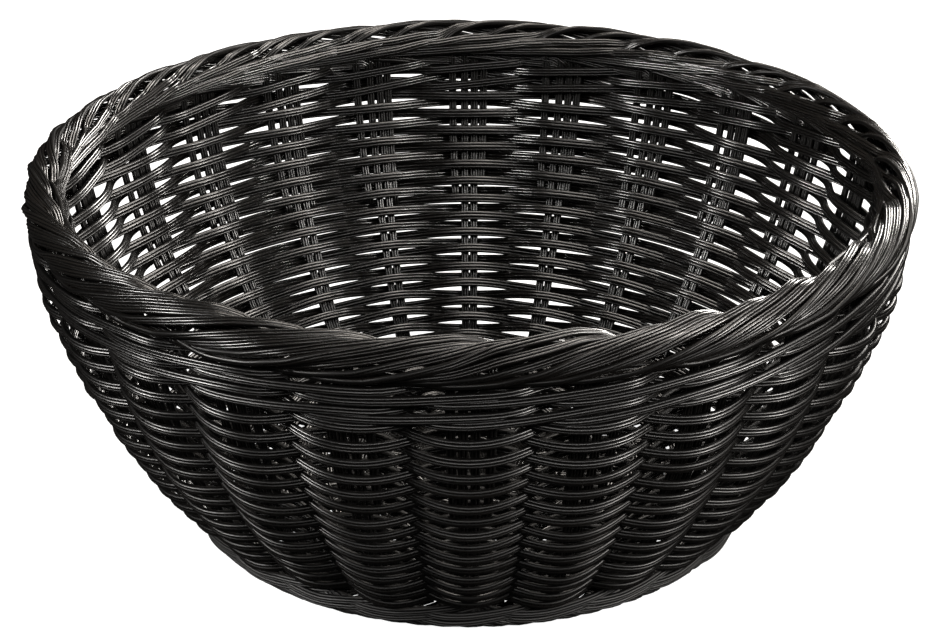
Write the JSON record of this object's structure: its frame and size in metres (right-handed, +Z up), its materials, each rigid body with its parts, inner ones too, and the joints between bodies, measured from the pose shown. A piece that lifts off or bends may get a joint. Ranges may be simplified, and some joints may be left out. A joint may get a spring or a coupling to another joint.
{
  "type": "woven fruit basket",
  "caption": "Round open bowl basket of black plastic cane, woven on paired stakes, with a rolled rim and a woven foot.",
  "frame": {"origin": "centre of the foot, on the surface that the basket stands on", "axes": "+Z up along the bowl's axis; +X and +Y across two stake groups at right angles, the side seen first faces -Y"},
  "size_m": [0.25, 0.25, 0.106],
  "materials": {
    "stake_cane": "satin black ribbed plastic cane, darker and duller in the shade of the weave",
    "weave_cane": "satin black plastic cane with lengthwise ribs and a soft sheen",
    "border_cane": "satin black ribbed plastic cane, slightly warm and shinier along the worn ridges"
  },
  "bodies": {
    "root": {"stake_pair_01": "stake_cane", "stake_pair_02": "stake_cane", "stake_pair_03": "stake_cane", "stake_pair_04": "stake_cane", "stake_pair_05": "stake_cane", "stake_pair_06": "stake_cane", "stake_pair_07": "stake_cane", "stake_pair_08": "stake_cane", "stake_pair_09": "stake_cane", "stake_pair_10": "stake_cane", "stake_pair_11": "stake_cane", "stake_pair_12": "stake_cane", "wale_row_01": "weave_cane", "wale_row_02": "weave_cane", "wale_row_03": "weave_cane", "wale_row_04": "weave_cane", "wale_row_05": "weave_cane", "wale_row_06": "weave_cane", "weave_row_01": "weave_cane", "weave_row_02": "weave_cane", "weave_row_03": "weave_cane", "weave_row_04": "weave_cane", "weave_row_05": "weave_cane", "weave_row_06": "weave_cane", "weave_row_07": "weave_cane", "weave_row_08": "weave_cane", "weave_row_09": "weave_cane", "weave_row_10": "weave_cane", "weave_row_11": "weave_cane", "weave_row_12": "weave_cane", "weave_row_13": "weave_cane", "weave_row_14": "weave_cane", "weave_row_15": "weave_cane", "weave_row_16": "weave_cane", "weave_row_17": "weave_cane", "weave_row_18": "weave_cane", "weave_row_19": "weave_cane", "weave_row_20": "weave_cane", "weave_row_21": "weave_cane", "weave_row_22": "weave_cane", "weave_row_23": "weave_cane", "weave_row_24": "weave_cane", "weave_row_25": "weave_cane", "weave_row_26": "weave_cane", "weave_row_27": "weave_cane", "weave_row_28": "weave_cane", "weave_row_29": "weave_cane", "insert_canes": "stake_cane", "rim_outer_canes": "border_cane", "rim_inner_canes": "border_cane", "rim_top_cane": "border_cane", "floor_weave_upper": "weave_cane", "floor_weave_lower": "weave_cane", "floor_centre_binding": "weave_cane", "foot_ring": "border_cane", "foot_canes": "border_cane"}
  },
  "joints": []
}
